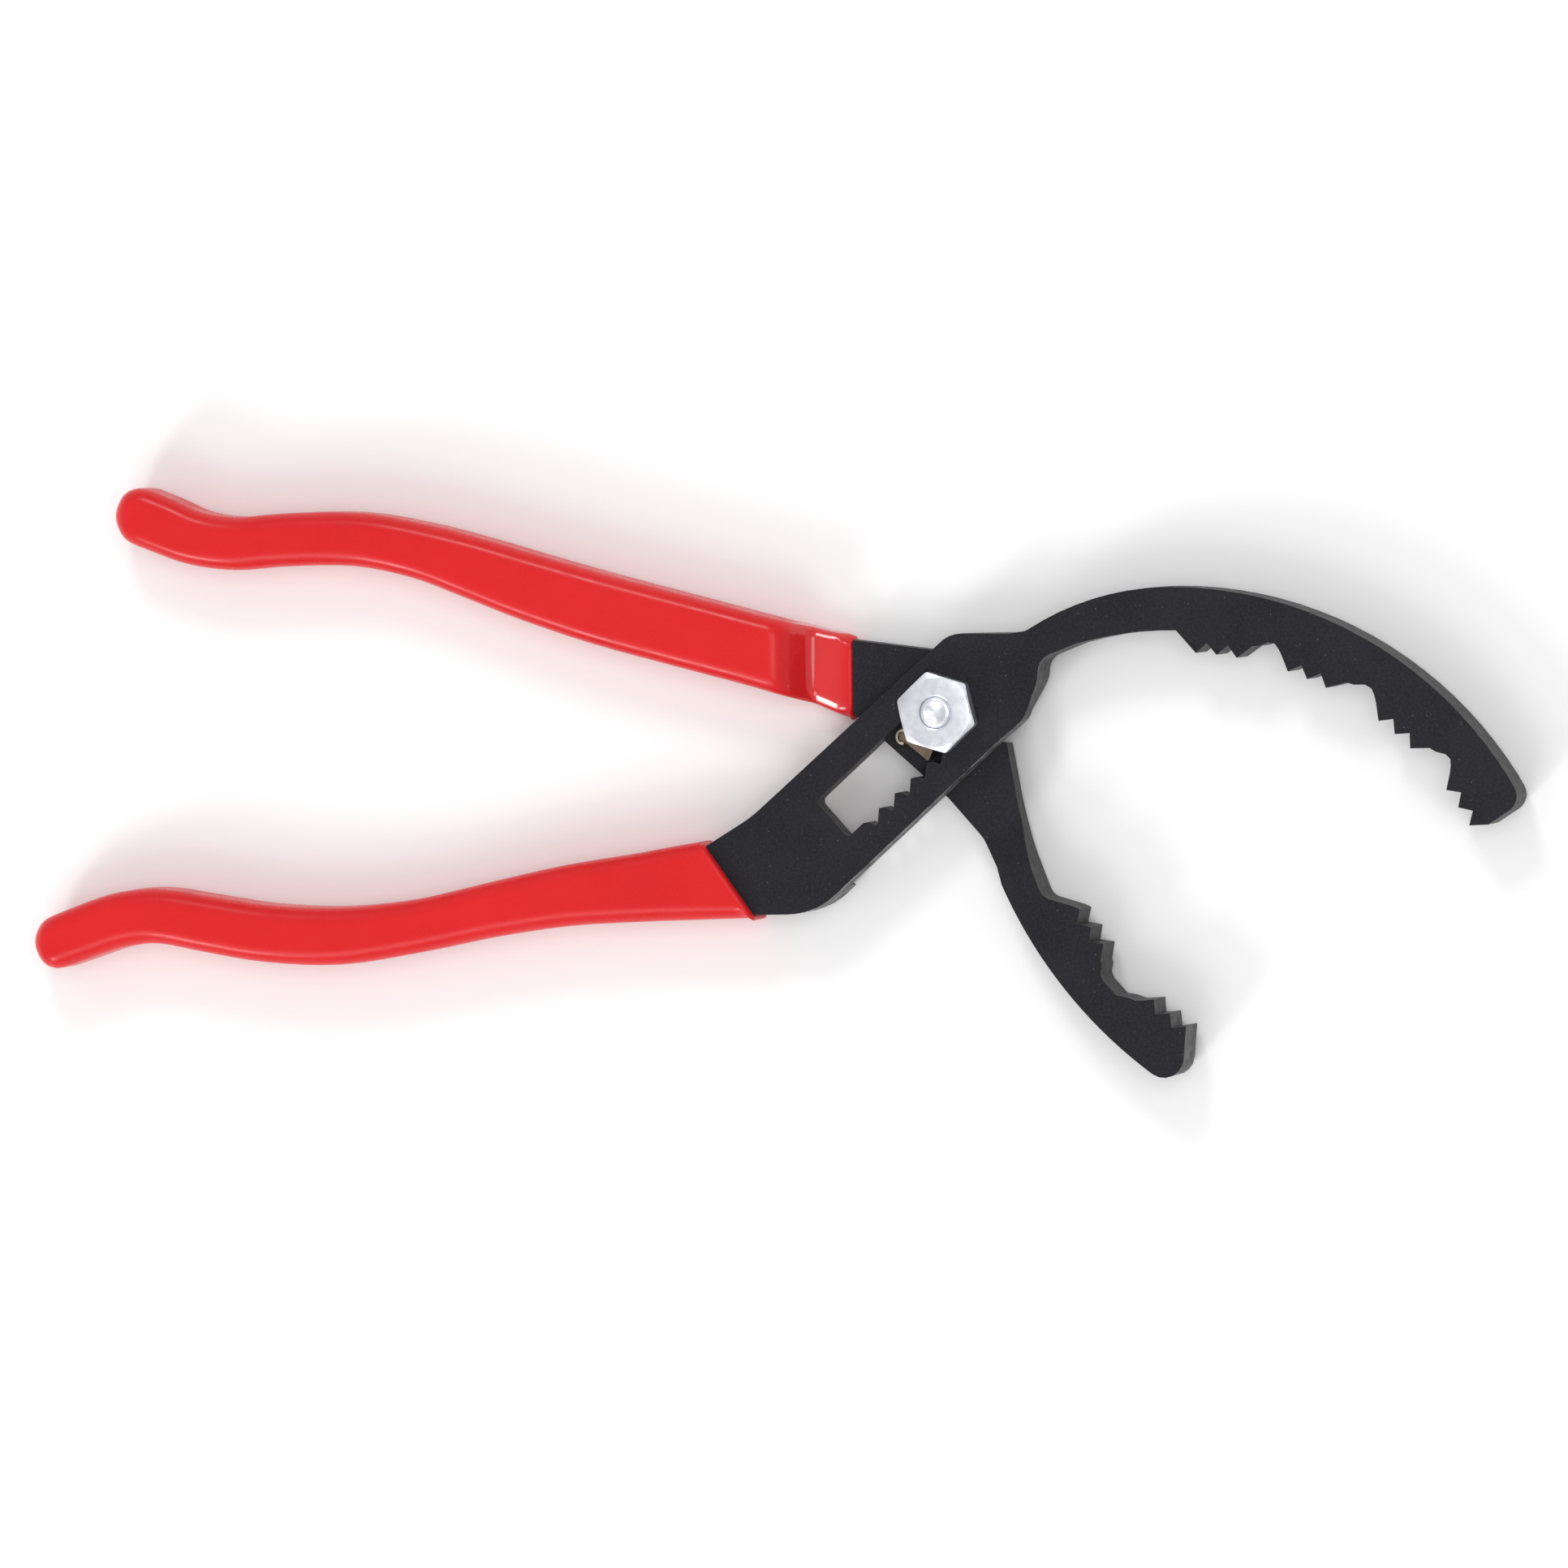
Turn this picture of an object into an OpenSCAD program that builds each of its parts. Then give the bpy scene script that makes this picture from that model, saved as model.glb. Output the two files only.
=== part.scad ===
// Oil filter pliers, 12 inch class, with a sliding pivot that a sprung pawl locks in a rack.
// The tool lies flat on its bolt head and grips: Z points up through the pivot, X runs along the tool
// towards the jaws, and the origin is on the pivot axis, level with the surface the tool lies on.

/* [Levers] */
// Thickness of the jaws and tangs
lever_t = 9.6; // [7:0.1:12]
// Clearance between the two half-laps
lap_gap = 0.1; // [0.04:0.02:0.3]
// Radius of the boss round the pivot on the rear lever
boss_r = 12.2; // [11.5:0.1:14]
// Width of the curved jaw bands
jaw_w = 12; // [9:0.5:15]

/* [Jaws] */
// Radius of the tooth tips of the upper jaw
upper_r = 66.25; // [62:0.25:72]
// Radius of the tooth tips of the lower jaw
lower_r = 80; // [76:0.5:86]
// Distance between tooth tips
tooth_pitch = 4.1; // [3:0.1:5]
// Depth of the notch between two teeth
tooth_depth = 2.1; // [1:0.1:2.6]

/* [Sliding pivot] */
// Angle of the slot from the X axis
slot_angle = 42.3; // [40:0.1:45]
// Distance between rack notches
rack_pitch = 4.4; // [3.8:0.1:5]
// Number of notches
rack_notches = 5; // [3:1:6]
// Diameter of the pivot bolt's shank
bolt_d = 6.35; // [5:0.05:7]
// Radial clearance of the bolt in the rear lever, the pawl and the slot
run_gap = 0.06; // [0.02:0.01:0.1]
// Width of the nut across its flats
nut_af = 14.3; // [12:0.1:17]
// Angle to which the nut was turned when it was staked
nut_turn = 43.5; // [0:0.5:60]
// Thickness of the nut
nut_t = 3.4; // [2.5:0.1:5]
// Diameter of the bolt head under the tool
head_d = 14; // [11:0.5:18]
// Wall of the pawl's ring round the bolt
ring_wall = 0.6; // [0.4:0.1:0.8]
// Diameter of the round nose at the end of the pawl
nose_d = 1.9; // [1.4:0.1:2.4]
// Diameter of the pin that holds the spring in the pawl
pin_d = 3; // [2:0.1:3.2]
// Diameter of the pawl spring's wire
wire_d = 0.7; // [0.4:0.1:0.9]
// Angle by which the pawl stands lifted out of the rack
pawl_lift = 13; // [12:0.5:14]

/* [Grips] */
// Wall of the grips at the sides of the tangs
grip_wall = 1.5; // [1:0.1:2.2]
// Thickness of the grips above and below the tangs
grip_cover = 2; // [1.2:0.1:3]

/* [Hidden] */

steel = [0.19, 0.19, 0.2];
zinc = [0.8, 0.82, 0.88];
bronze = [0.4, 0.31, 0.22];
red = [0.87, 0.16, 0.16];
cut = 1;                                // overshoot of a cutting solid

// Levels above the surface that the tool lies on
z_back = grip_cover;                    // back face of the levers
z_front = z_back + lever_t;             // front face of the levers
z_mid = (z_back + z_front) / 2;         // plane of the half-laps
grip_t = lever_t + 2 * grip_cover;
neck_cover = 1;                         // grip wall over the thinned part of the rear tang
z_neck = z_mid - lap_gap - neck_cover;  // top of that thinned part

// Pivot, slot and rack, in a frame turned by slot_angle: u runs up the slot, w away from the rack
bolt_r = bolt_d / 2;
ring_r = bolt_r + run_gap + ring_wall;  // the pawl's ring, which runs in the slot with the bolt
slot_w = ring_r + run_gap;              // smooth edge of the slot
crest_w = -5.65;                        // tips of the rack
crest_back_w = -6.3;
root_w = -7.65;                         // roots of the rack
root_u = -7;                            // root of the notch that locks the rest position
slot_top_u = 6.4;
slot_end_u = root_u - (rack_notches + 0.33) * rack_pitch;
travel = (rack_notches - 1) * rack_pitch;

// Directions in which the groups of teeth start, and the centres of the tooth circles: the upper
// circle's top and the lower circle's first tooth stay where they are when a radius changes
upper_at = [87, 70.8, 53.1, 36.7];
lower_at = [211.9, 228.4];
teeth_in_group = 3;
upper_c = [48.3, 11.65 - upper_r];
lower_c = [28.1, -38.6] - lower_r * [cos(lower_at[0]), sin(lower_at[0])];
// The back of the upper jaw is an arc of its own, so the band is widest in its middle
upper_back_c = upper_c - [1.5, 0];
upper_back_r = upper_r + jaw_w + 0.85;
hump_r = 54;                            // smaller arc where the jaw band leaves the neck
jaw_end_turn = 1.4;                     // angle from the last tooth of the upper jaw to its end
jaw_end_r = 3.4;                        // rounding of the upper jaw's end
upper_gap = [[2.6, 2.8], [3.9, 3.2], [5.4, 4.3], [6.6, 4.4], [7.5, 3.7], [8.5, 2.6]];
upper_gap_run = 10.6;
lower_gap = [[2.2, 2.5], [2.9, 2.8], [4, 4.2], [5.2, 4.7], [8.9, 4.7], [10.5, 3.5], [12.3, 2.6]];
lower_gap_run = 14.7;

// Middle lines of the grips: x, y and width, from the mouth to the tail
rear_line = [[-11, 4.4, 16.8], [-19, 6.7, 16.1], [-26.5, 8.9, 14.6], [-36, 11.6, 14.2],
             [-52, 15.7, 14.2], [-69, 20.1, 14.1], [-84, 24.6, 13.4], [-96, 28.6, 12.3], [-107, 31.9, 11.1],
             [-120, 34.2, 10.7], [-135, 34.1, 10.6], [-145, 33.4, 10.6], [-153.5, 34.5, 10.8],
             [-160, 36.9, 11.3], [-165.2, 38.9, 11.4]];
front_line = [[-30, -32.6, 15.9], [-42, -32.9, 16], [-52, -33.8, 15], [-62, -34.9, 13.6],
              [-77, -36.6, 12.1], [-93, -39.6, 10.9], [-108, -42.8, 10.6], [-124, -44.9, 11.4],
              [-139, -44.5, 11.5], [-151, -42.8, 11.3], [-162, -41.1, 11], [-170, -41.9, 11],
              [-176.5, -43.9, 10.9], [-183.6, -46.5, 10.6]];
smooth_steps = 4;                       // points between two stations of a grip
ring_points = 24;
roundness = 3;                          // 2 is an ellipse, higher is squarer

function unit(v) = v / norm(v);
function polar(c, r, a) = c + r * [cos(a), sin(a)];
function arc(c, r, a0, a1, n) = [for (i = [0:n]) polar(c, r, a0 + (a1 - a0) * i / n)];

// The corner b between a and c, rounded with radius r
function corner(a, b, c, r, n = 6) =
    let (u = unit(a - b), v = unit(c - b), half = acos(u * v) / 2,
         centre = b + unit(u + v) * r / sin(half),
         from = b + u * r / tan(half) - centre, to = b + v * r / tan(half) - centre,
         a0 = atan2(from.y, from.x), turn = atan2(to.y, to.x) - a0,
         short = turn > 180 ? turn - 360 : turn < -180 ? turn + 360 : turn)
    r == 0 ? [b] : arc(centre, r, a0, a0 + short, n);

// An open run of [x, y, radius] points, with its inner corners rounded
function rounded(p) =
    [for (i = [0:len(p) - 1])
        let (here = [p[i].x, p[i].y])
        each (i == 0 || i == len(p) - 1 ? [here]
            : corner([p[i - 1].x, p[i - 1].y], here, [p[i + 1].x, p[i + 1].y], p[i].z))];

// A smooth line through the stations p
function spline(p, i, t) =
    let (a = p[max(i - 1, 0)], b = p[i], c = p[i + 1], d = p[min(i + 2, len(p) - 1)])
    0.5 * (2 * b + (c - a) * t + (2 * a - 5 * b + 4 * c - d) * t ^ 2 + (3 * b - a - 3 * c + d) * t ^ 3);
function smooth(p) = [for (i = [0:len(p) - 2], k = [0:smooth_steps - 1]) spline(p, i, k / smooth_steps),
                      p[len(p) - 1]];
function heading(s, i) = let (d = s[min(i + 1, len(s) - 1)] - s[max(i - 1, 0)]) unit([d.x, d.y]);
function side(s, i, inset, sign) =
    let (h = heading(s, i)) [s[i].x, s[i].y] + sign * (s[i].z / 2 - inset) * [-h.y, h.x];

// The angle that a length along a circle of radius r takes up
function turn_of(length, r) = length / r * 180 / PI;

// Teeth of one jaw: tips at radius r, and notches and gaps cut outwards from there. A gap's points
// are stretched along the circle so that they always end at the next group's first tooth.
function teeth(c, r, at, gap, gap_run, way) =
    [for (g = [0:len(at) - 1])
        let (tip = turn_of(tooth_pitch, r), last = at[g] + way * (teeth_in_group - 1) * tip)
        each concat(
            [for (t = [0:2 * teeth_in_group - 2])
                polar(c, r + (t % 2 == 1 ? tooth_depth : 0), at[g] + way * t * tip / 2)],
            g == len(at) - 1 ? []
                : [for (q = gap) polar(c, r + q.y, last + (at[g + 1] - last) * q.x / gap_run)])];

upper_last = upper_at[3] - turn_of((teeth_in_group - 1) * tooth_pitch, upper_r);
lower_last = lower_at[1] + turn_of((teeth_in_group - 1) * tooth_pitch, lower_r);

module in_slot_frame() rotate(slot_angle) children();

// ---- tangs and grips ----

// The tang inside a grip, seen from above, from station `from` to the tail
module tang_outline(line, inset, from) {
    s = smooth(line);
    n = len(s) - 1;
    h = heading(s, n);
    tail_r = s[n].z / 2 - inset;
    a = atan2(h.y, h.x);
    polygon(concat([for (i = [from:n]) side(s, i, inset, -1)],
                   arc([s[n].x, s[n].y], tail_r, a - 75, a + 75, 8),
                   [for (i = [n:-1:from]) side(s, i, inset, 1)]));
}

// One ring of a grip: a rounded rectangle across the middle line
function ring(p, h, w, low, high) =
    [for (k = [0:ring_points - 1])
        let (a = 360 * k / ring_points, c = cos(a), s = sin(a),
             x = w / 2 * sign(c) * abs(c) ^ (2 / roundness),
             z = (high - low) / 2 * sign(s) * abs(s) ^ (2 / roundness) + (high + low) / 2)
        [p.x - h.y * x, p.y + h.x * x, z]];

module loft(rings) {
    n = len(rings[0]);
    m = len(rings);
    polyhedron(
        points = [for (r = rings) each r],
        faces = concat(
            [[for (k = [0:n - 1]) k]],
            [for (j = [0:m - 2], k = [0:n - 1])
                [j * n + k, (j + 1) * n + k, (j + 1) * n + (k + 1) % n, j * n + (k + 1) % n]],
            [[for (k = [n - 1:-1:0]) (m - 1) * n + k]]));
}

// The outer shape of a grip. tops holds the height of its upper side at each smoothed station.
module grip_body(line, from, tops) {
    s = smooth(line);
    n = len(s) - 1;
    h = heading(s, n);
    tail = [for (b = [20:20:80]) [s[n].z / 2 * sin(b), cos(b)]];
    loft(concat(
        [for (i = [from:n]) ring(s[i], heading(s, i), s[i].z, 0, tops[i])],
        [for (q = tail) ring([s[n].x, s[n].y] + h * q.x, h, s[n].z * q.y,
                             grip_t / 2 * (1 - q.y), grip_t / 2 * (1 + q.y))]));
}

// ---- front lever ----

// Smoothed station at which the front tang leaves the web, and where its grip starts
front_tang = 2;
front_mouth = 0;

function front_back_edge() = rounded([
    [-55, -31, 0], [-38.5, -20.8, 25], [2.2, 15.4, 6], [14.2, 15.4, 5], [17.4, 15.9, 0]]);
function front_neck_edge() = rounded([
    [28, 13.5, 0], [20.2, 10.4, 3.5], [19.9, 6, 10], [17, -1.5, 5], [12.4, -5.3, 0],
    [-25.6, -39.9, 15], [-46, -40.2, 0]]);

module front_outline() {
    end_a = upper_last - jaw_end_turn;
    end_in = polar(upper_c, upper_r + jaw_end_r, end_a);
    end_out = polar(upper_back_c, upper_back_r, end_a);
    hump_c = upper_back_c + [0, upper_back_r - hump_r];
    polygon(concat(
        front_back_edge(),
        arc(hump_c, hump_r, 122, 92, 8),
        arc(upper_back_c, upper_back_r, 90, end_a + 4, 20),
        corner(polar(upper_back_c, upper_back_r, end_a + 4), end_out, end_in, jaw_end_r),
        [end_in],
        teeth_reversed(),
        arc(upper_back_c, upper_r + 4.35, 89.2, 105, 6),
        front_neck_edge()));
}
function teeth_reversed() =
    let (p = teeth(upper_c, upper_r, upper_at, upper_gap, upper_gap_run, -1))
    [for (i = [len(p) - 1:-1:0]) p[i]];

// The slot with its rack of teeth
module slot_outline() {
    top_r = (slot_w - crest_w) / 2;
    polygon(concat(
        rounded([[slot_end_u + 3, slot_w, 0], [slot_end_u, slot_w, 1.2], [slot_end_u, crest_w, 0.8],
                 [slot_end_u + 2, crest_w, 0]]),
        [for (i = [rack_notches - 1:-1:0])
            let (u = root_u - i * rack_pitch)
            each [[u - 1.7, crest_w], [u - 0.6, crest_back_w], [u, root_w], [u + 0.5, root_w]]],
        [[root_u + 2.9, crest_w]],
        arc([slot_top_u - top_r, slot_w - top_r], top_r, -90, 90, 12)));
}

// Side view of where the back half of the front lever is cut away for the rear lever: distance up
// the slot, and height. The end beyond the boss slopes.
module lap_clearance() {
    from_u = -travel - boss_r - 8;
    to_u = boss_r + 1.2;
    slope = 6;
    low = z_back - cut;
    high = z_mid + lap_gap / 2;
    polygon([[from_u, low], [to_u + slope, low], [to_u + slope, z_back], [to_u, high], [from_u, high]]);
}

module front_lever() {
    color(steel) difference() {
        union() {
            translate([0, 0, z_back]) linear_extrude(lever_t) front_outline();
            translate([0, 0, z_back]) linear_extrude(lever_t) tang_outline(front_line, grip_wall, front_tang);
        }
        in_slot_frame() rotate([90, 0, 0]) linear_extrude(120, center = true) lap_clearance();
        translate([0, 0, z_back - cut]) linear_extrude(lever_t + 2 * cut) in_slot_frame() slot_outline();
    }
}

module front_grip() {
    s = smooth(front_line);
    color(red) difference() {
        grip_body(front_line, front_mouth, [for (i = [0:len(s)]) grip_t]);
        translate([0, 0, z_back]) linear_extrude(lever_t) {
            tang_outline(front_line, grip_wall, front_tang);
            front_outline();
        }
        mouth_cut();
    }
}
// The front grip's mouth is cut on a slant
module mouth_cut() {
    translate([-47.8, -25.4, -cut]) rotate(-52.4) translate([-15, 0, 0]) cube([50, 40, grip_t + 2 * cut]);
}

// ---- rear lever ----

// Smoothed stations at which the rear tang starts, and from which it has its full thickness
rear_tang = 3;
rear_full = 11;
rear_mouth_x = -18.8;                   // where the rear grip starts
arm_angle = -65;                        // direction of the arm that carries the lower jaw
ramp_from = 26;                         // distances along the arm between which it swells from half
ramp_to = 36;                           // its thickness to all of it
arm_root = [0.6, -17.2];                // where the arm leaves the straight lower edge of the boss

module rear_outline() {
    outer = lower_r + jaw_w - 0.3;
    polygon(concat(
        rounded([[4, -6, 0], [12.4, -6.3, 0], [14.6, -18.5, 80], [16.7, -26.5, 50], [20.5, -36.2, 3],
                 [26.8, -38, 0]]),
        teeth(lower_c, lower_r, lower_at, lower_gap, lower_gap_run, 1),
        corner(polar(lower_c, lower_r, lower_last), polar(lower_c, outer, lower_last + 4.3),
               polar(lower_c, outer, lower_last), 4),
        arc(lower_c, outer, lower_last, 204, 18),
        rounded([[11, -30.5, 0], [7.6, -25, 20], [arm_root.x, arm_root.y, 0]])));
}

// The flat shoulder between the arm and the mouth of the grip, with the boss in its middle
module rear_shoulder() {
    polygon([[rear_mouth_x, 14], [-2.9, 12.1], [4, -7], arm_root, [rear_mouth_x, -0.3]]);
}

// Side view of what is cut off the front of the arm: distance along it, and height
module arm_ramp() {
    low = z_mid - lap_gap / 2;
    polygon([[0, low], [ramp_from, low], [ramp_to, z_front], [ramp_to, z_front + cut], [0, z_front + cut]]);
}

module rear_tang_solid() {
    translate([0, 0, z_back]) linear_extrude(lever_t) tang_outline(rear_line, grip_wall, rear_full);
    translate([0, 0, z_back]) linear_extrude(z_neck - z_back)
        tang_outline(rear_line, grip_wall, rear_tang);
}

module rear_lever() {
    color(steel) difference() {
        union() {
            translate([0, 0, z_back]) linear_extrude(lever_t) rear_outline();
            translate([0, 0, z_back]) cylinder(h = lever_t / 2, r = boss_r, $fn = 120);
            translate([0, 0, z_back]) linear_extrude(lever_t / 2) rear_shoulder();
            rear_tang_solid();
        }
        translate([0, 0, z_mid - lap_gap / 2]) cylinder(h = lever_t, r = ramp_from, $fn = 120);
        rotate(arm_angle) rotate([90, 0, 0]) linear_extrude(80, center = true) arm_ramp();
        translate([0, 0, z_back - cut]) cylinder(h = lever_t + 2 * cut, r = bolt_r + run_gap, $fn = 60);
    }
}

module rear_grip() {
    s = smooth(rear_line);
    low = z_neck + neck_cover;
    step_from = rear_full - 2;
    rise = [for (i = [0:len(s)]) min(max((i - step_from) / 2, 0), 1)];
    color(red) difference() {
        grip_body(rear_line, 0, [for (k = rise) low + (grip_t - low) * k]);
        rear_tang_solid();
        translate([rear_mouth_x, -30, -cut]) cube([40, 60, grip_t + 2 * cut]);
    }
}

// ---- pivot ----

module pivot_bolt() {
    top = z_front + nut_t + 0.2;
    edge = 0.5;
    head_edge = 0.7;
    dimple_r = 0.6 * bolt_r;
    dimple_t = 0.35;
    dimple_curve = (dimple_r ^ 2 + dimple_t ^ 2) / (2 * dimple_t);
    color(zinc) difference() {
        rotate_extrude($fn = 96) polygon([
            [0, 0], [head_d / 2 - head_edge, 0], [head_d / 2, head_edge], [head_d / 2, z_back],
            [bolt_r, z_back], [bolt_r, top - edge], [bolt_r - edge, top], [0, top]]);
        translate([0, 0, top - dimple_t + dimple_curve]) sphere(r = dimple_curve, $fn = 120);
    }
}

module pivot_nut() {
    corner_r = nut_af / 2 / cos(30);
    face_r = nut_af / 2 - 0.4;              // flat face inside the chamfer
    chamfer_t = 1.3;                        // height of the chamfer's cone outside the corners
    color(zinc) difference() {
        intersection() {
            translate([0, 0, z_front + lap_gap]) rotate(nut_turn)
                cylinder(h = nut_t - lap_gap, r = corner_r, $fn = 6);
            rotate_extrude($fn = 96) polygon([
                [0, z_front], [corner_r + 1, z_front], [corner_r + 1, z_front + nut_t - chamfer_t],
                [face_r, z_front + nut_t], [0, z_front + nut_t]]);
        }
        translate([0, 0, z_front - cut]) cylinder(h = nut_t + 2 * cut, r = bolt_r, $fn = 60);
    }
}

// ---- pawl ----

nose = [-8.9, -0.6];                    // middle of the pawl's nose, in the slot frame, when locked
pin = [-6.4, -1.7];                     // middle of the spring's pin
pawl_z = z_mid + lap_gap;
pawl_t = z_front - pawl_z - lap_gap - wire_d;

module at_pawl() rotate(-pawl_lift) in_slot_frame() translate([0, 0, pawl_z]) children();

// The pawl: a ring round the bolt, a heel that fills the slot towards the rack, and the tooth with
// the nose over the edge of the slot
module pawl_outline() {
    heel_r = -crest_w - 0.35;
    circle(r = ring_r, $fn = 90);
    intersection() {
        circle(r = heel_r, $fn = 90);
        translate([-8, -10]) square([16, 10.6]);
    }
    polygon(concat(
        arc(nose, nose_d / 2, 80, 200, 6),
        rounded([[-8.9, -2.2, 0], [-6.9, -7.2, 0.3], [-4.4, -5.3, 0.4], [-3.2, -3.2, 0]]),
        [[-2, ring_r - 0.5]]));
    polygon([[-9, 0.3], [-3, 0.3], [-3, 2.2], [-4.4, 2.2]]);
}

module pawl() {
    color(bronze) at_pawl() difference() {
        linear_extrude(pawl_t) pawl_outline();
        translate([0, 0, -cut]) cylinder(h = pawl_t + 2 * cut, r = bolt_r + run_gap, $fn = 60);
        translate([pin.x, pin.y, -cut]) cylinder(h = pawl_t + 2 * cut, r = pin_d / 2, $fn = 40);
    }
}

module pawl_pin() {
    hollow_r = pin_d / 2 - 0.6;
    color(zinc) at_pawl() translate([pin.x, pin.y, 0]) difference() {
        cylinder(h = pawl_t, r = pin_d / 2, $fn = 40);
        translate([0, 0, pawl_t - 0.8]) cylinder(h = 2, r = hollow_r, $fn = 40);
    }
}

// The wire lies on the pawl: it hooks round the nose and its leg ends over the pin
module pawl_spring() {
    r = nose_d / 2 + wire_d / 2;
    a0 = 62;
    leg = polar(nose, r, a0);
    leg_run = 4.2;
    color(zinc) at_pawl() translate([0, 0, pawl_t + wire_d / 2]) {
        translate([nose.x, nose.y, 0]) rotate(a0) rotate_extrude(angle = 185, $fn = 60)
            translate([r, 0]) circle(r = wire_d / 2, $fn = 16);
        translate([leg.x, leg.y, 0]) rotate([0, 90, a0 - 90]) cylinder(h = leg_run, r = wire_d / 2, $fn = 16);
    }
}

front_lever();
rear_lever();
front_grip();
rear_grip();
pivot_bolt();
pivot_nut();
pawl();
pawl_pin();
pawl_spring();
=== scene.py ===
"""Oil filter pliers with a sliding pivot: black oxide levers in dipped red vinyl grips, a staked
zinc bolt and nut, and a small sprung pawl.

Each piece is made in mesh code around the fixed frame. The tool lies on the floor with its jaws
towards +X, and the pivot is on the Z axis. Lengths are in metres; MM turns millimetres into them.
"""

from collections import namedtuple
from math import cos, pi, radians, sin

import bmesh
import bpy
import numpy as np
from mathutils import Matrix, Vector, noise


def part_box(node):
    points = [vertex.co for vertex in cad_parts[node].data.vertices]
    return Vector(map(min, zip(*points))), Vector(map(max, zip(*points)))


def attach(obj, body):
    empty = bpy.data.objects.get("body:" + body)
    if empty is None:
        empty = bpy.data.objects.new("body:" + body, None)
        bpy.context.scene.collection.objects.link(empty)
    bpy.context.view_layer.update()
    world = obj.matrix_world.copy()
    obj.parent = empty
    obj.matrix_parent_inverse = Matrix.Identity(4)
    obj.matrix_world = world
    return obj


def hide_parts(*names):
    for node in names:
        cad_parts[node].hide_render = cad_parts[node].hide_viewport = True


MM = 0.001
BOLT_R = 6.35 / 2 * MM
NUT_FLAT_R = 14.3 / 2 * MM
GRIP_WALL = 1.5 * MM
TINY = 0.01 * MM  # stands for a radius of 0, and for a clearance
Cut = namedtuple("Cut", "middle across half_w low high")
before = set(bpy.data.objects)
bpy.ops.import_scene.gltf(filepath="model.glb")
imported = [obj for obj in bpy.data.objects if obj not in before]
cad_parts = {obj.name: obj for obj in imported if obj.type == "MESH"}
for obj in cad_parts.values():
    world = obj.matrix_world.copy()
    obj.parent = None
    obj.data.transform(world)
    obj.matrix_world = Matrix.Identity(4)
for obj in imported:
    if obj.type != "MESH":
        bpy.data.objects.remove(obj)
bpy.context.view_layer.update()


# ---- camera, light and floor ----

def make_camera():
    """Looks down at the tool from well above, leaning a little towards the jaws."""
    lean_x, lean_y, roll = radians(15.36), radians(2.34), radians(-0.47)
    distance, frame_width = 2.231, 0.3096
    move_right, move_down = 1.97 * MM, 0.43 * MM
    back = Vector((sin(lean_x) * cos(lean_y), sin(lean_y), cos(lean_x) * cos(lean_y)))
    right = Vector((0, 1, 0)).cross(back).normalized()
    up = back.cross(right)
    target = Vector((-0.035, -0.014, 0.007)) + right * move_right - up * move_down
    right, up = right * cos(roll) + up * sin(roll), up * cos(roll) - right * sin(roll)
    data = bpy.data.cameras.new("camera")
    data.sensor_width = 36
    data.lens = data.sensor_width * distance / frame_width
    data.clip_end = 20
    camera = bpy.data.objects.new("camera", data)
    axes = Matrix((right, up, back)).transposed().to_4x4()
    camera.matrix_world = Matrix.Translation(target + back * distance) @ axes
    bpy.context.scene.collection.objects.link(camera)
    bpy.context.scene.camera = camera


def area_light(name, place, power, size):
    """A round white light, aimed at the middle of the tool."""
    data = bpy.data.lights.new(name, "AREA")
    data.energy = power
    data.shape = "DISK"
    data.size = size
    light = bpy.data.objects.new(name, data)
    light.location = place
    aim = Vector((-0.03, -0.01, 0)) - Vector(place)
    light.rotation_euler = aim.to_track_quat("-Z", "Y").to_euler()
    bpy.context.scene.collection.objects.link(light)


def make_studio():
    """A pale floor under a soft white sky, with a key light and a top light, and two smaller lights
    that the folds of the vinyl mirror."""
    area_light("key_light", (-0.35, -1.1, 1.3), 5, 0.8)
    area_light("side_light", (-0.18, 1.15, 1.0), 5, 0.35)
    area_light("top_light", (0.45, 0.15, 1.55), 6, 0.9)
    area_light("low_light", (-0.85, -1.1, 0.73), 7, 0.36)
    world = bpy.data.worlds.new("sky")
    world.use_nodes = True
    world.node_tree.nodes["Background"].inputs["Color"].default_value = (1, 1, 1, 1)
    world.node_tree.nodes["Background"].inputs["Strength"].default_value = 0.6
    bpy.context.scene.world = world
    bpy.context.scene.view_settings.view_transform = "Standard"
    half, gap = 3, 0.05 * MM
    mesh = bpy.data.meshes.new("floor")
    corners = [(-half, -half, 0), (half, -half, 0), (half, half, 0), (-half, half, 0)]
    mesh.from_pydata(corners, [], [(0, 1, 2, 3)])
    floor = bpy.data.objects.new("floor", mesh)
    floor.location = (0, 0, -gap)
    bpy.context.scene.collection.objects.link(floor)
    mesh.materials.append(floor_material())


# ---- materials ----

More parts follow.
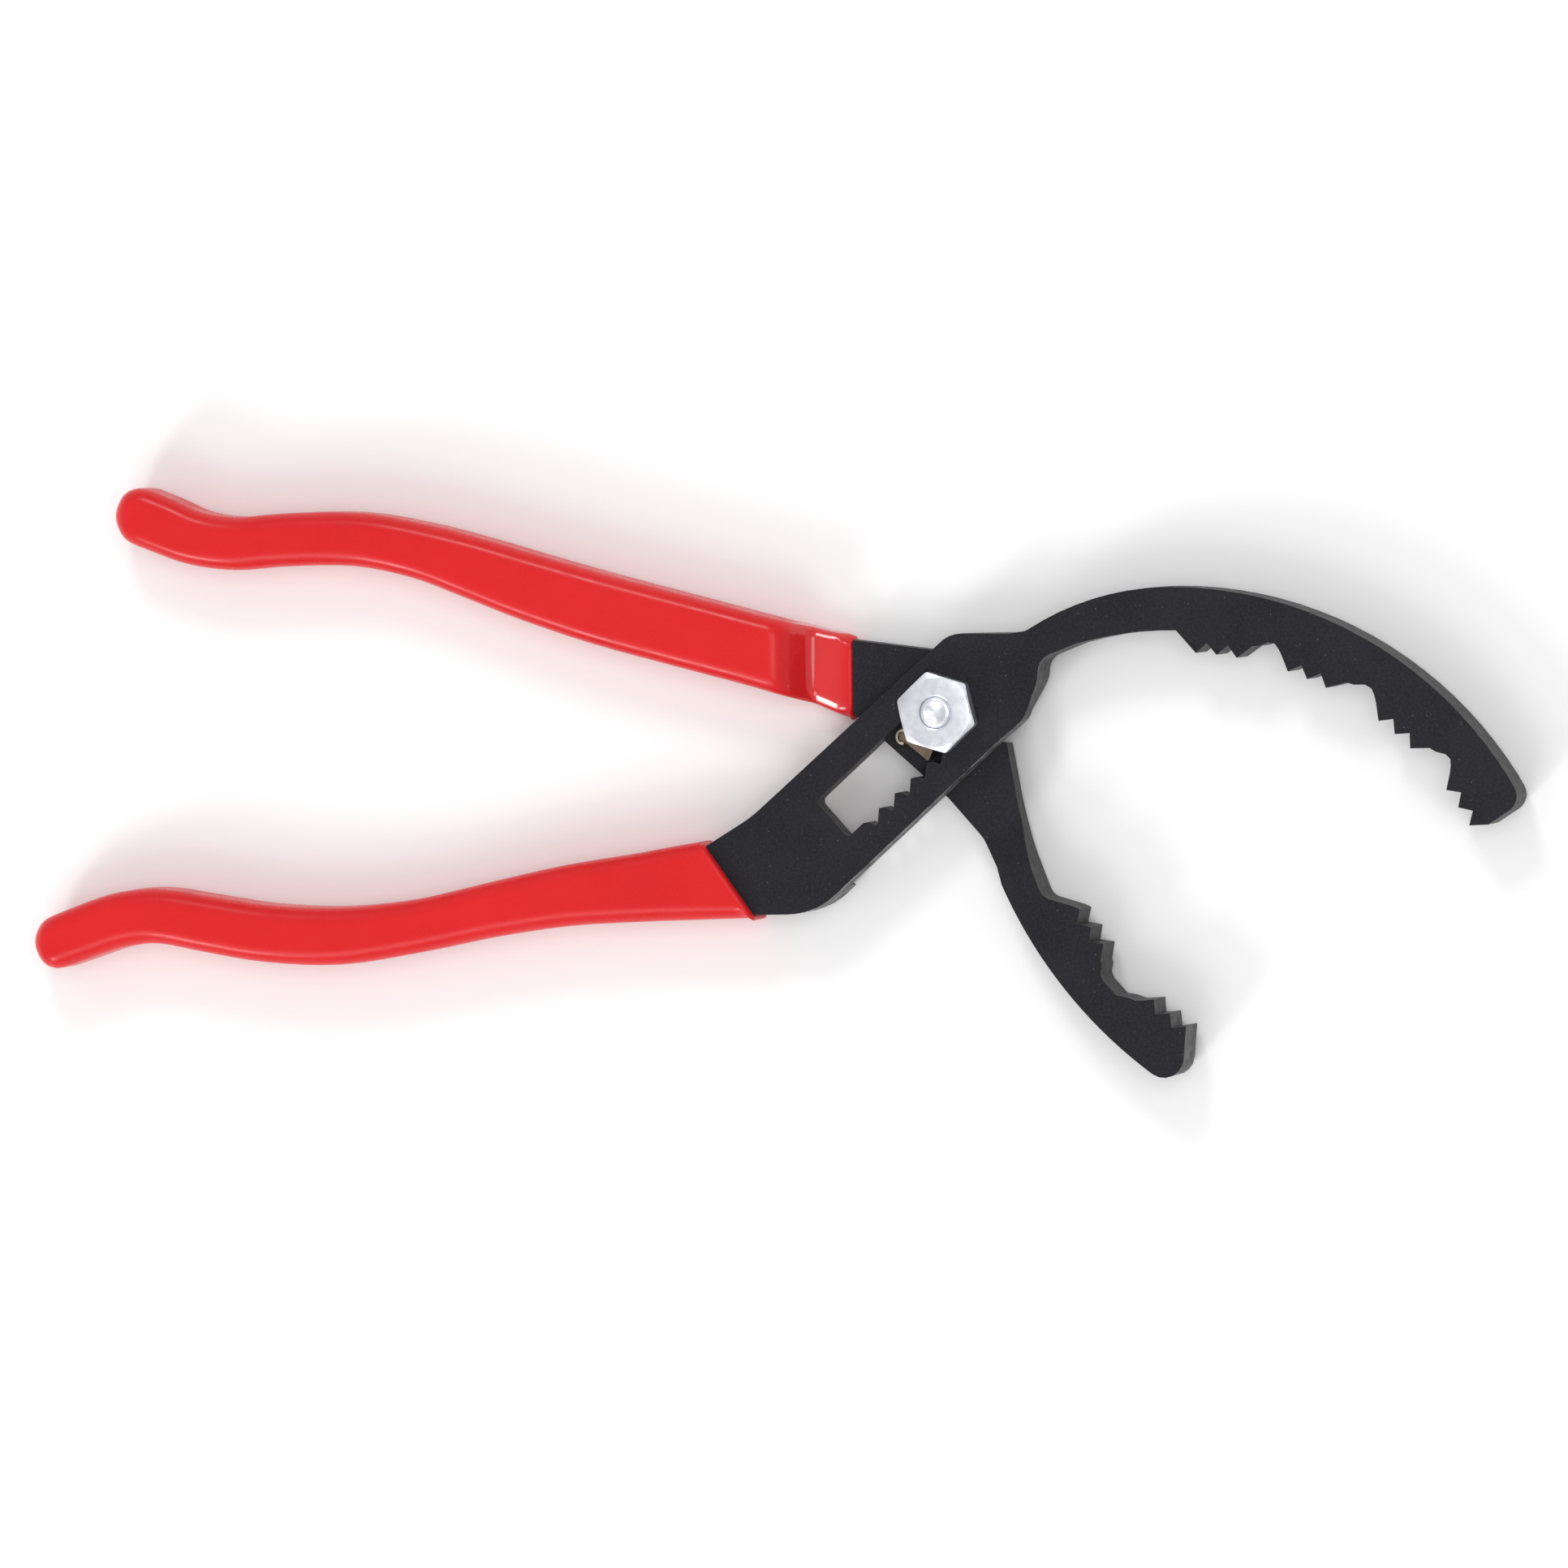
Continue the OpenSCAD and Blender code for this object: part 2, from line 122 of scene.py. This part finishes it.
class Nodes:
    """A new material's node tree, with short calls for the nodes that the finishes share."""

    def __init__(self, name):
        self.material = bpy.data.materials.new(name)
        self.material.use_nodes = True
        self.tree = self.material.node_tree
        self.shader = self.tree.nodes["Principled BSDF"]
        self.place = self.add("ShaderNodeTexCoord").outputs["Object"]

    def add(self, kind, **settings):
        node = self.tree.nodes.new(kind)
        for key, value in settings.items():
            setattr(node, key, value)
        return node

    def link(self, start, end):
        self.tree.links.new(start, end)

    def set(self, **values):
        """Constants on the shader's own sockets; an underscore in a name stands for a space."""
        for key, value in values.items():
            self.shader.inputs[key.replace("_", " ")].default_value = value

    def noise(self, scale, detail=4.0, rough=0.55, stretch=(1, 1, 1)):
        """Noise with features of about 1/scale metres, stretched along the axes."""
        place = self.place
        if stretch != (1, 1, 1):
            mapping = self.add("ShaderNodeMapping")
            mapping.inputs["Scale"].default_value = stretch
            self.link(place, mapping.inputs["Vector"])
            place = mapping.outputs["Vector"]
        node = self.add("ShaderNodeTexNoise")
        node.inputs["Scale"].default_value = scale
        node.inputs["Detail"].default_value = detail
        node.inputs["Roughness"].default_value = rough
        self.link(place, node.inputs["Vector"])
        return node.outputs["Fac"]

    def specks(self, scale, size):
        """1 in small round spots and 0 elsewhere. Cells are 1/scale metres wide, some of them have a
        spot, and size is the spot's radius as a share of the cell."""
        node = self.add("ShaderNodeTexVoronoi", feature="F1")
        node.inputs["Scale"].default_value = scale
        self.link(self.place, node.inputs["Vector"])
        spot = self.scaled(node.outputs["Distance"], size, size * 0.5, 0, 1)
        has_none, has_spot = 0.56, 0.62
        chosen = self.scaled(self.noise(scale * 0.6, 1), has_none, has_spot, 0, 1)
        return self.maths("MULTIPLY", spot, chosen)

    def rings(self, pitch, wobble=0.0):
        """Turning marks round the Z axis, a pitch apart."""
        node = self.add("ShaderNodeTexWave", wave_type="RINGS", rings_direction="Z")
        pitch_at_scale_1 = 0.314
        node.inputs["Scale"].default_value = pitch_at_scale_1 / pitch
        node.inputs["Distortion"].default_value = wobble
        self.link(self.place, node.inputs["Vector"])
        return node.outputs["Fac"]

    def scaled(self, value, low, high, to_low, to_high):
        node = self.add("ShaderNodeMapRange")
        self.link(value, node.inputs["Value"])
        limits = {"From Min": low, "From Max": high, "To Min": to_low, "To Max": to_high}
        for key, number in limits.items():
            node.inputs[key].default_value = number
        return node.outputs["Result"]

    def maths(self, operation, a, b):
        node = self.add("ShaderNodeMath", operation=operation)
        for socket, value in zip(node.inputs, (a, b)):
            if isinstance(value, (int, float)):
                socket.default_value = value
            else:
                self.link(value, socket)
        return node.outputs[0]

    def blend(self, share, a, b):
        """Colour a where share is 0, b where it is 1."""
        node = self.add("ShaderNodeMix", data_type="RGBA")
        self.link(share, node.inputs["Factor"])
        for socket, value in ((node.inputs[6], a), (node.inputs[7], b)):
            if isinstance(value, tuple):
                socket.default_value = (*value, 1)
            else:
                self.link(value, socket)
        return node.outputs[2]

    def bump(self, height, strength, distance, under=None):
        node = self.add("ShaderNodeBump")
        node.inputs["Strength"].default_value = strength
        node.inputs["Distance"].default_value = distance
        self.link(height, node.inputs["Height"])
        if under:
            self.link(under, node.inputs["Normal"])
        return node.outputs["Normal"]

    def painted(self, name):
        """A value painted on the mesh, and 0 on a mesh without it."""
        return self.add("ShaderNodeAttribute", attribute_name=name).outputs["Fac"]

    def finish(self, colour, roughness, normal):
        self.link(colour, self.shader.inputs["Base Color"])
        self.link(roughness, self.shader.inputs["Roughness"])
        self.link(normal, self.shader.inputs["Normal"])
        return self.material


def floor_material():
    n = Nodes("floor_paper")
    colour = n.blend(n.noise(18, 3), (0.89, 0.89, 0.89), (0.91, 0.91, 0.91))
    rough = n.scaled(n.noise(60, 2), 0, 1, 0.85, 0.95)
    n.set(Specular_IOR_Level=0.1)
    return n.finish(colour, rough, n.bump(n.noise(900, 2), 0.02, 0.1 * MM))


def oxide_material(name, dark, light, wear_colour, grain):
    """Black oxide on steel: fine grain, pale specks, cloudy patches, and bare metal on worn edges.
    grain is the strength of its finest bumps."""
    n = Nodes(name)
    cloud = n.noise(75, 5, 0.6)
    fine = n.noise(1900, 3, 0.7)
    colour = n.blend(n.scaled(cloud, 0.35, 0.65, 0, 1), dark, light)
    colour = n.blend(n.scaled(fine, 0.42, 0.72, 0, 0.6), colour, tuple(2.4 * c for c in light))
    specks = n.specks(900, 0.16)
    colour = n.blend(n.maths("MULTIPLY", specks, 0.5), colour, (0.13, 0.125, 0.13))
    broken = n.scaled(n.noise(420, 6, 0.7), 0.36, 0.6, 0, 1)
    wear = n.maths("MULTIPLY", n.painted("wear"), broken)
    colour = n.blend(wear, colour, wear_colour)
    rough = n.scaled(n.noise(900, 4), 0.3, 0.7, 0.44, 0.58)
    rough = n.maths("SUBTRACT", rough, n.maths("MULTIPLY", wear, 0.12))
    normal = n.bump(n.noise(1500, 6, 0.65), grain, 0.06 * MM)
    normal = n.bump(specks, 0.5, 0.05 * MM, normal)
    n.set(Metallic=0.0, Specular_IOR_Level=0.2)
    return n.finish(colour, rough, normal)


def vinyl_material():
    """Red dipped vinyl: slight mottling, a faint ripple from dipping, and dust specks. It is glossy
    where it is stretched, which the painted value "gloss" gives."""
    n = Nodes("dipped_vinyl")
    cloud = n.scaled(n.noise(48, 4), 0.3, 0.7, 0, 1)
    colour = n.blend(cloud, (0.61, 0.012, 0.015), (0.665, 0.015, 0.018))
    colour = n.blend(n.scaled(n.noise(1700, 3, 0.7), 0.35, 0.75, 0, 0.35), colour, (0.71, 0.02, 0.02))
    specks = n.specks(230, 0.03)
    colour = n.blend(n.maths("MULTIPLY", specks, 0.4), colour, (0.8, 0.3, 0.28))
    rough = n.scaled(n.noise(240, 4), 0.3, 0.7, 0.24, 0.36)
    normal = n.bump(n.noise(110, 2, 0.4, (0.45, 1, 1)), 0.08, 0.3 * MM)
    normal = n.bump(n.noise(1300, 3), 0.06, 0.04 * MM, normal)
    n.set(Specular_IOR_Level=0.22, Coat_Roughness=0.1)
    n.link(n.scaled(n.painted("gloss"), 0, 1, 0.02, 0.9), n.shader.inputs["Coat Weight"])
    n.set(Subsurface_Weight=0.04, Subsurface_Scale=0.001, Subsurface_Radius=(1, 0.2, 0.12))
    return n.finish(colour, rough, normal)


def zinc_material(name, turned):
    """Bright zinc plate, bluish. turned is the strength of its turning marks about the pivot."""
    n = Nodes(name)
    cloud = n.scaled(n.noise(260, 5), 0.3, 0.7, 0, 1)
    colour = n.blend(cloud, (0.74, 0.77, 0.83), (0.9, 0.92, 0.96))
    colour = n.blend(n.scaled(n.noise(2400, 4, 0.7), 0.55, 0.8, 0, 0.4), colour, (0.34, 0.36, 0.4))
    rough = n.scaled(n.noise(600, 4), 0.3, 0.7, 0.26, 0.4)
    normal = n.bump(n.noise(700, 5, 0.6), 0.18, 0.05 * MM)
    normal = n.bump(n.rings(0.22 * MM, 0.6), turned, 0.03 * MM, normal)
    n.set(Metallic=0.9, Specular_IOR_Level=0.5)
    return n.finish(colour, rough, normal)


def bronze_material():
    """Brown bronzed steel with lighter scuffs on its edges."""
    n = Nodes("bronzed_steel")
    cloud = n.scaled(n.noise(320, 5), 0.3, 0.7, 0, 1)
    colour = n.blend(cloud, (0.13, 0.1, 0.07), (0.23, 0.175, 0.12))
    broken = n.scaled(n.noise(1100, 5, 0.7), 0.35, 0.6, 0, 1)
    colour = n.blend(n.maths("MULTIPLY", n.painted("wear"), broken), colour, (0.5, 0.42, 0.3))
    rough = n.scaled(n.noise(1200, 4), 0.3, 0.7, 0.34, 0.5)
    n.set(Metallic=0.85)
    return n.finish(colour, rough, n.bump(n.noise(1900, 5, 0.6), 0.3, 0.04 * MM))


def wire_material():
    """Drawn spring wire with fine lines and a straw tint."""
    n = Nodes("drawn_wire")
    cloud = n.scaled(n.noise(900, 4), 0.3, 0.7, 0, 1)
    colour = n.blend(cloud, (0.2, 0.17, 0.13), (0.36, 0.31, 0.25))
    rough = n.scaled(n.noise(2000, 3), 0.3, 0.7, 0.24, 0.36)
    n.set(Metallic=1.0)
    return n.finish(colour, rough, n.bump(n.noise(3000, 3), 0.15, 0.02 * MM))


# ---- mesh tools ----

def new_piece(name, mesh, body, slot, materials, *nodes):
    """Makes a mesh into a piece that rides on a body and stands for the CAD nodes given."""
    piece = bpy.data.objects.new(name, mesh)
    bpy.context.scene.collection.objects.link(piece)
    for m in materials:
        mesh.materials.append(m)
    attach(piece, body)
    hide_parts(*nodes)
    return piece


def smooth_shading(mesh, sharp_over):
    mesh.shade_smooth()
    mesh.set_sharp_from_angle(angle=radians(sharp_over))


def ring_mesh(name, rings, closed=False):
    """A mesh through rings of equally many points. Its ends are capped, or joined if it is closed."""
    n, count = len(rings[0]), len(rings)
    points = [p for ring in rings for p in ring]
    spans = count if closed else count - 1
    faces = []
    for j in range(spans):
        a, b = j * n, (j + 1) % count * n
        faces += [(a + k, a + (k + 1) % n, b + (k + 1) % n, b + k) for k in range(n)]
    if not closed:
        faces += [tuple(range(n - 1, -1, -1)), tuple(range((count - 1) * n, count * n))]
    mesh = bpy.data.meshes.new(name)
    mesh.from_pydata([tuple(p) for p in points], [], faces)
    bm = bmesh.new()
    bm.from_mesh(mesh)
    bmesh.ops.recalc_face_normals(bm, faces=bm.faces)
    bm.to_mesh(mesh)
    bm.free()
    return mesh


def revolved(name, profile, centre, steps=96):
    """A solid of revolution about an upright axis through centre. The profile is [radius, height]
    and starts and ends at the radius TINY."""
    rings = [[centre + Vector((r * cos(a), r * sin(a), z)) for a in turns(steps)] for r, z in profile]
    return ring_mesh(name, rings)


def turns(steps):
    return [2 * pi * k / steps for k in range(steps)]


def softened(profile, radius, steps=4):
    """The profile with each corner cut back by radius and rounded. The cuts at a side's two ends
    don't meet, however short it is."""
    out = [Vector(profile[0])]
    for a, b, c in zip(profile, profile[1:], profile[2:]):
        a, b, c = Vector(a), Vector(b), Vector(c)
        cut = min(radius, (a - b).length / 2.2, (c - b).length / 2.2)
        start, end = b + (a - b).normalized() * cut, b + (c - b).normalized() * cut
        for k in range(steps + 1):
            t = k / steps
            out.append(start * (1 - t) ** 2 + b * 2 * t * (1 - t) + end * t**2)
    return out + [Vector(profile[-1])]


def clean_copy(node, edge, wear_at, wall_slot=False):
    """The CAD solid's mesh with whole flat faces and rounded edges. It holds a painted value "wear",
    which wear_at(point) gives for its rounded edges, with less of it on its upright faces and none
    on the others. With wall_slot, the upright faces take the piece's second material."""
    wall_share, upright_below = 0.35, 0.3
    one_point, one_face, corner = 0.002 * MM, radians(0.6), radians(30)
    bm = bmesh.new()
    bm.from_mesh(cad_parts[node].data)
    bmesh.ops.remove_doubles(bm, verts=bm.verts, dist=one_point)
    bmesh.ops.dissolve_limit(bm, angle_limit=one_face, verts=bm.verts, edges=bm.edges)
    sharp = [e for e in bm.edges if len(e.link_faces) == 2 and e.calc_face_angle(0) > corner]
    made = bmesh.ops.bevel(
        bm, geom=sharp, offset=edge, offset_type="OFFSET", segments=3, profile=0.5, affect="EDGES",
        clamp_overlap=True, loop_slide=False,
    )
    rounded = set(made["faces"])
    wear = bm.loops.layers.float.new("wear")
    for face in bm.faces:
        upright = abs(face.normal.z) < upright_below
        face.material_index = 1 if wall_slot and upright and face not in rounded else 0
        for loop in face.loops:
            share = 1.0 if face in rounded else wall_share if upright else 0.0
            loop[wear] = share * wear_at(loop.vert.co / MM)
    mesh = bpy.data.meshes.new(node)
    bm.to_mesh(mesh)
    bm.free()
    smooth_shading(mesh, 40)
    return mesh


def near_line(a, b, reach, fall):
    """A function that is 1 within reach of the line from a to b, and 0 beyond reach + fall, in mm."""
    a, b = Vector(a), Vector(b)

    def value(p):
        q = Vector((p.x, p.y))
        t = max(0, min(1, (q - a).dot(b - a) / (b - a).length_squared))
        return max(0, min(1, 1 - ((a + (b - a) * t - q).length - reach) / fall))

    return value


# ---- levers ----

def weighted(piece):
    """Lets the large flat faces set the shading of the rounded edges beside them."""
    modifier = piece.modifiers.new("flat_faces", "WEIGHTED_NORMAL")
    modifier.keep_sharp = True
    modifier.weight = 90


def make_levers(face, wall):
    """Two forgings, most worn along the web's lower edge, the neck and the tip of the lower jaw."""
    # The second material, on the upright walls, is the oxide painted lighter: painted light falling on the
    # walls.
    finish = ("oxide_steel", [face, wall])
    edge, slight = 0.4 * MM, 0.12
    web_edge = near_line((-27, -40), (14, -3), 2.5, 2)
    neck = near_line((17, 0), (24, 12), 2, 4)
    tip = near_line((45, -72), (49, -62), 4, 10)

    def front_wear(p):
        return slight + (1 - slight) * max(web_edge(p), 0.35 * neck(p))

    def rear_wear(p):
        return slight + 0.5 * tip(p)

    front = clean_copy("front_lever", edge, front_wear, True)
    weighted(new_piece("front_lever_forging", front, "front_half", *finish, "front_lever"))
    rear = clean_copy("rear_lever", edge, rear_wear, True)
    weighted(new_piece("rear_lever_forging", rear, "rear_half", *finish, "rear_lever"))


# ---- grips ----

class Slicer:
    """Cuts a CAD solid with upright planes and gives each cut's size."""

    def __init__(self, node):
        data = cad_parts[node].data
        self.points = np.array([v.co for v in data.vertices])
        self.edges = np.array([e.vertices[:] for e in data.edges])

    def cut(self, a, b):
        """The Cut by the upright plane through a and b: its middle, the unit vector across it, its
        half width, and its lowest and highest Z. None if the plane misses."""
        across = (Vector(a) - Vector(b)).normalized()
        away = np.array([-across.y, across.x])
        off = (self.points[:, :2] - np.array(a)) @ away
        start, end = off[self.edges[:, 0]], off[self.edges[:, 1]]
        hit = start * end < 0
        if not hit.any():
            return None
        t = (start[hit] / (start - end)[hit])[:, None]
        ends = self.points[self.edges[hit]]
        met = ends[:, 0] * (1 - t) + ends[:, 1] * t
        along = (met[:, :2] - np.array(b)) @ np.array(across)
        middle = Vector(b) + across * (along.min() + along.max()) / 2
        half_w = (along.max() - along.min()) / 2
        return Cut(middle, across, half_w, met[:, 2].min(), met[:, 2].max())


def rounded_box(half_w, half_h, radius):
    """Points round a rounded rectangle, equally many whatever its size. side_shares are the places
    of points along a side, closest together near its ends."""
    arc_steps = 7
    side_shares = (0.03, 0.07, 0.11, 0.18, 0.5, 0.82, 0.89, 0.93, 0.97)
    half_w, half_h = float(half_w), float(half_h)
    radius = min(radius, 0.98 * half_w, 0.98 * half_h)
    out = []
    for quarter in range(4):
        sx, sy = ((1, 1), (-1, 1), (-1, -1), (1, -1))[quarter]
        centre = Vector((sx * (half_w - radius), sy * (half_h - radius)))
        start = quarter * pi / 2
        for k in range(arc_steps + 1):
            a = start + pi / 2 * k / arc_steps
            out.append(centre + radius * Vector((cos(a), sin(a))))
        step = Vector(((-1, 0), (0, -1), (1, 0), (0, 1))[quarter])
        length = 2 * (half_w if quarter % 2 == 0 else half_h) - 2 * radius
        out += [out[-1] + step * length * share for share in side_shares]
    return out


def no_recess(x):
    return 0.0


def grip_mesh(node, planes, covers, recess=no_recess):
    """A dipped sleeve. planes run from the mouth to the tail as pairs of points, an upper and a
    lower one. covers gives the thickness of the vinyl under and over the tang at a plane. recess
    gives, from 0 to 1, how far the vinyl is drawn down over the tang's edges at x."""
    near_slope_w, far_slope_w, slope = 2.6 * MM, 1.7 * MM, 0.5
    crown, swell_h, swells_per_m = 0.12 * MM, 0.06 * MM, 130
    slicer = Slicer(node)
    cuts = [c for c in (slicer.cut(a, b) for a, b in planes) if c]

    # Each top is eased towards the mean of three, which rounds a step's upper corner.
    tops = np.array([c.high for c in cuts])
    padded = np.pad(tops, 1, mode="edge")
    tops = np.minimum(tops, np.convolve(padded, np.ones(3) / 3, "valid") + 0.05 * MM)

    def ring(cut, inset_w, low, high, radius, shift=0.0, crowned=0.0):
        """A closed line round a cut, inset from its sides and shifted towards the tail. Its upper
        part is crowned, is drawn down at the recess, and swells and sinks a little."""
        middle, across, half_w = cut.middle, cut.across, cut.half_w - inset_w
        away = Vector((across.y, -across.x))
        towards_tail = away if across.y < 0 else -away
        out = []
        for q in rounded_box(half_w, (high - low) / 2, radius):
            p = middle + across * q.x + towards_tail * shift
            z = (high + low) / 2 + q.y
            if q.y > 0:
                near_edge = max(0.0, near_slope_w - half_w - q.x)
                far_edge = max(0.0, far_slope_w - half_w + q.x)
                drawn = recess(middle.x) * slope * (near_edge + far_edge)
                z -= crowned * min(1.0, (q.x / half_w) ** 2) + drawn
                z -= swell_h * (1 + noise.noise(Vector((p.x, p.y, z)) * swells_per_m))
            out.append(Vector((p.x, p.y, z)))
        return out

    lip, lip_steps, lip_edge = 0.8 * MM, 4, 2.8 * MM
    rim = []
    for k in range(lip_steps + 1):
        a = pi / 2 * k / lip_steps
        inset = lip * (1 - sin(a))
        low, high = cuts[0].low + inset, tops[0] - inset
        rim.append(ring(cuts[0], inset, low, high, lip_edge, shift=lip * (1 - cos(a))))
    plain_edge, recess_edge = 3.3 * MM, 0.8 * MM
    outer = []
    for cut, top in zip(cuts[1:], tops[1:]):
        edge = plain_edge + (recess_edge - plain_edge) * recess(cut.middle.x)
        outer.append(ring(cut, 0, cut.low, top, edge, crowned=crown))
    least_half_w, inner_edge, solid_tail = GRIP_WALL + 1.2 * MM, 0.5 * MM, 4
    inner = []
    for cut, top in zip(cuts[:-solid_tail], tops):
        if cut.half_w > least_half_w:
            under, over = covers(top)
            inner.append(ring(cut, GRIP_WALL, cut.low + under, top - over, inner_edge))
    mesh = ring_mesh(node, inner[::-1] + rim + outer)
    gloss = mesh.attributes.new("gloss", "FLOAT", "POINT")
    for vertex in mesh.vertices:
        gloss.data[vertex.index].value = recess(vertex.co.x)
    smooth_shading(mesh, 60)
    return mesh


def spaced(start, end, step, tail):
    """Places along X from start back to end, crowded together over the tail's length."""
    tail_steps = 12
    body = np.linspace(start, end + tail, int((start - end) / step) + 1)
    bend = np.sin(np.linspace(0, pi / 2, tail_steps + 1))[1:]
    return [*body, *(end + tail * (1 - bend))]


def make_rear_grip(vinyl):
    """The sleeve of the rear lever. It steps down near its mouth, where the lever is half as thick."""
    low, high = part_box("rear_grip")
    lever_low, lever_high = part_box("rear_lever")
    half_z = 6.8 * MM
    recess_from, recess_to, recess_fade = 1 * MM, 13 * MM, 2.5 * MM

    def covers(top):
        share = min(1, max(0, (top - half_z) / (lever_high.z - half_z)))
        return lever_low.z, (1 + share) * MM

    def recess(x):
        from_mouth = high.x - x
        within = min(from_mouth - recess_from, recess_to - from_mouth)
        return max(0.0, min(1.0, within / recess_fade))

    xs = spaced(high.x - 2 * TINY, low.x + TINY, 1.1 * MM, 5.5 * MM)
    planes = [((x, 0.1), (x, 0)) for x in xs]
    mesh = grip_mesh("rear_grip", planes, covers, recess)
    new_piece("rear_grip_sleeve", mesh, "rear_half", "red_vinyl", [vinyl], "rear_grip")


def make_front_grip(vinyl):
    """The sleeve of the front lever. Its mouth is cut on a slant, and its planes turn from the
    mouth's slant to square with X over its first part."""
    cover = 2 * MM
    upper_x, upper_y = -47.7 * MM, -25.4 * MM
    lower_x, lower_y = -36.2 * MM, -40.4 * MM
    turned_x, turn_steps = -62 * MM, 15
    planes = []
    for k in range(turn_steps + 1):
        t = k / turn_steps
        upper = (upper_x + (turned_x - upper_x) * t, upper_y)
        lower = (lower_x + (turned_x - lower_x) * t, lower_y)
        planes.append((upper, lower))
    tail_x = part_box("front_grip")[0].x + TINY
    xs = spaced(turned_x - 1.5 * MM, tail_x, 1.6 * MM, 5.2 * MM)
    planes += [((x, 0), (x, -0.1)) for x in xs]
    mesh = grip_mesh("front_grip", planes, lambda top: (cover, cover))
    new_piece("front_grip_sleeve", mesh, "front_half", "red_vinyl", [vinyl], "front_grip")


# ---- pivot ----

def make_bolt(zinc):
    """A flat round head under the tool, the shank, and the end staked over the nut, with fine turned
    grooves round its dimple."""
    low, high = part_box("pivot_bolt")
    head_r, head_t = (high.x - low.x) / 2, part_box("rear_lever")[0].z
    top, chamfer = high.z, 0.8 * MM
    head = softened([
        (TINY, low.z), (head_r - chamfer, low.z), (head_r, low.z + chamfer),
        (head_r, head_t), (BOLT_R, head_t),
    ], 0.25 * MM)
    shank = softened([
        (BOLT_R, head_t), (BOLT_R, top - 0.55 * MM), (BOLT_R - 0.5 * MM, top - 0.05 * MM),
        (BOLT_R - 1.1 * MM, top - 0.02 * MM),
    ], 0.3 * MM)[1:]
    dimple_r, dimple_top, dimple_depth = 1.95 * MM, top - 0.08 * MM, 0.42 * MM
    groove_depth, dimple_steps = 0.035 * MM, 14
    dimple = []
    for k in range(dimple_steps + 1):
        r = dimple_r * (1 - k / dimple_steps)
        z = dimple_top - dimple_depth * (1 - (r / dimple_r) ** 2) - groove_depth * (k % 2)
        dimple.append(Vector((max(r, TINY), z)))
    mesh = revolved("pivot_bolt", head + shank + dimple, Vector((0, 0, 0)))
    smooth_shading(mesh, 50)
    new_piece("pivot_bolt_turned", mesh, "slider", "zinc_plate", [zinc], "pivot_bolt")


def make_nut(zinc):
    """A hexagon nut, chamfered to a circle on its upper face, with softened corners."""
    low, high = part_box("pivot_nut")
    corner_turn, corner_r = radians(43.5), NUT_FLAT_R / cos(pi / 6)
    bore_r, face_r = BOLT_R + TINY, NUT_FLAT_R - 0.4 * MM
    corner_cut = 0.14 * MM
    chamfer_slope = 1.3 * MM / (corner_r + 1 * MM - face_r)

    def section(a):
        """[radius, height] at the angle a: the foot, the side, the chamfer, the face and the bore."""
        from_middle = (a - corner_turn) % (pi / 3) - pi / 6
        r = min(NUT_FLAT_R / cos(from_middle), corner_r - corner_cut)
        edge_z = high.z - (r - face_r) * chamfer_slope
        return (
            (bore_r, low.z), (r - 0.25 * MM, low.z), (r, low.z + 0.25 * MM), (r, edge_z - 0.14 * MM),
            (r - 0.04 * MM, edge_z - 0.03 * MM), (face_r + 0.12 * MM, high.z - 0.04 * MM),
            (face_r - 0.12 * MM, high.z), (bore_r + 0.3 * MM, high.z), (bore_r, high.z - 0.2 * MM),
        )

    angles = turns(180)
    rings = []
    for level in zip(*(section(a) for a in angles)):
        rings.append([Vector((r * cos(a), r * sin(a), z)) for a, (r, z) in zip(angles, level)])
    mesh = ring_mesh("pivot_nut", rings, closed=True)
    smooth_shading(mesh, 24)
    new_piece("pivot_nut_hexagon", mesh, "slider", "zinc_plate", [zinc], "pivot_nut")


# ---- pawl ----

def make_pawl(bronze, wire):
    """A stamped pawl, its rolled pin with a hollow end, and its wire spring."""
    mesh = clean_copy("pawl", 0.15 * MM, lambda p: 1.0)
    weighted(new_piece("pawl_stamping", mesh, "catch", "bronzed_steel", [bronze], "pawl"))
    low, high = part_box("pawl_pin")
    centre = Vector(((low.x + high.x) / 2, (low.y + high.y) / 2, 0))
    pin_r = (high.x - low.x) / 2
    outer, hollow = pin_r - 2 * TINY, pin_r - 0.6 * MM
    profile = softened([
        (TINY, low.z), (outer, low.z), (outer, high.z), (hollow, high.z),
        (hollow, high.z - 0.8 * MM), (TINY, high.z - 0.95 * MM),
    ], 0.12 * MM)
    mesh = revolved("pawl_pin", profile, centre, 48)
    smooth_shading(mesh, 50)
    new_piece("pawl_pin_rolled", mesh, "catch", "zinc_plate", [bronze], "pawl_pin")
    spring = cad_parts["pawl_spring"]
    spring.data.materials.clear()
    spring.data.materials.append(wire)


def main():
    make_camera()
    make_studio()
    make_levers(
        oxide_material("oxide_face", (0.006, 0.006, 0.009), (0.011, 0.01, 0.014), (0.42, 0.42, 0.45), 0.25),
        # This second copy is lighter as painted light on the levers' upright walls. Its coarser grain is
        # their rougher forged finish.
        oxide_material("lit_oxide_wall", (0.016, 0.016, 0.016), (0.03, 0.03, 0.028), (0.36, 0.36, 0.38), 0.5),
    )
    vinyl = vinyl_material()
    make_rear_grip(vinyl)
    make_front_grip(vinyl)
    make_bolt(zinc_material("zinc_turned", 0.5))
    make_nut(zinc_material("zinc_plain", 0.12))
    make_pawl(bronze_material(), wire_material())


main()
